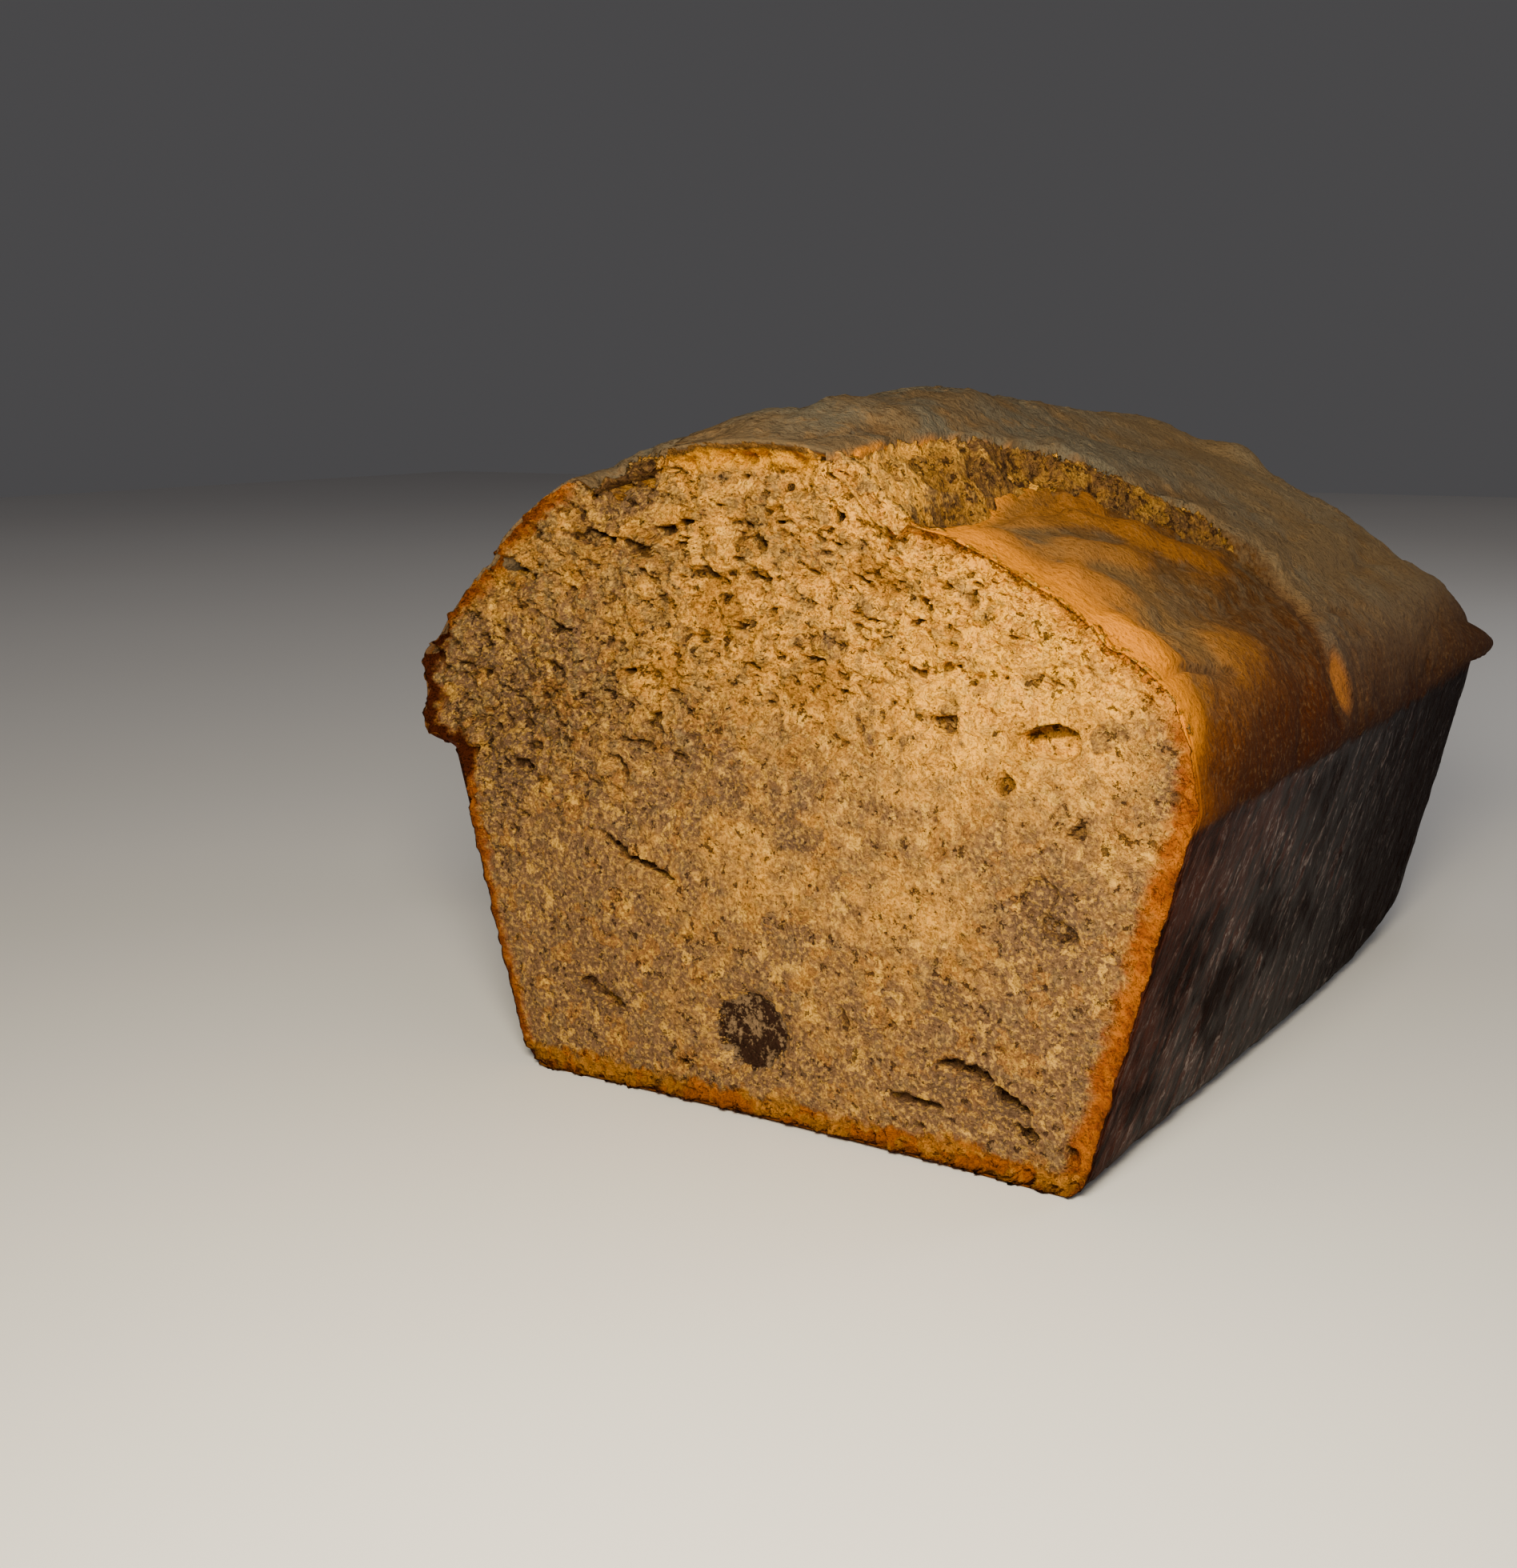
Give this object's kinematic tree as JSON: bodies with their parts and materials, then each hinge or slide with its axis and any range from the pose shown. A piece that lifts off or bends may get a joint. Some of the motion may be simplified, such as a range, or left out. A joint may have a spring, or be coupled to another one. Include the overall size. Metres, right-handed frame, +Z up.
{
  "type": "banana bread",
  "caption": "Cut loaf of banana bread: a tin-shaped, tapered block with a tall cracked dome and a torn crumb face, resting on its flat underside",
  "frame": {"origin": "the middle of the loaf's box, on the flat underside that it stands on", "axes": "+Z up, +Y along the loaf from the cut face to the baked end, +X to the right of the cut face"},
  "size_m": [0.1248, 0.1516, 0.0995],
  "materials": {
    "crumb": "matt, porous baked crumb",
    "crust": "baked crust, matt on the top and slightly glossy on the sides"
  },
  "bodies": {
    "root": {"loaf": "crumb"}
  },
  "joints": []
}
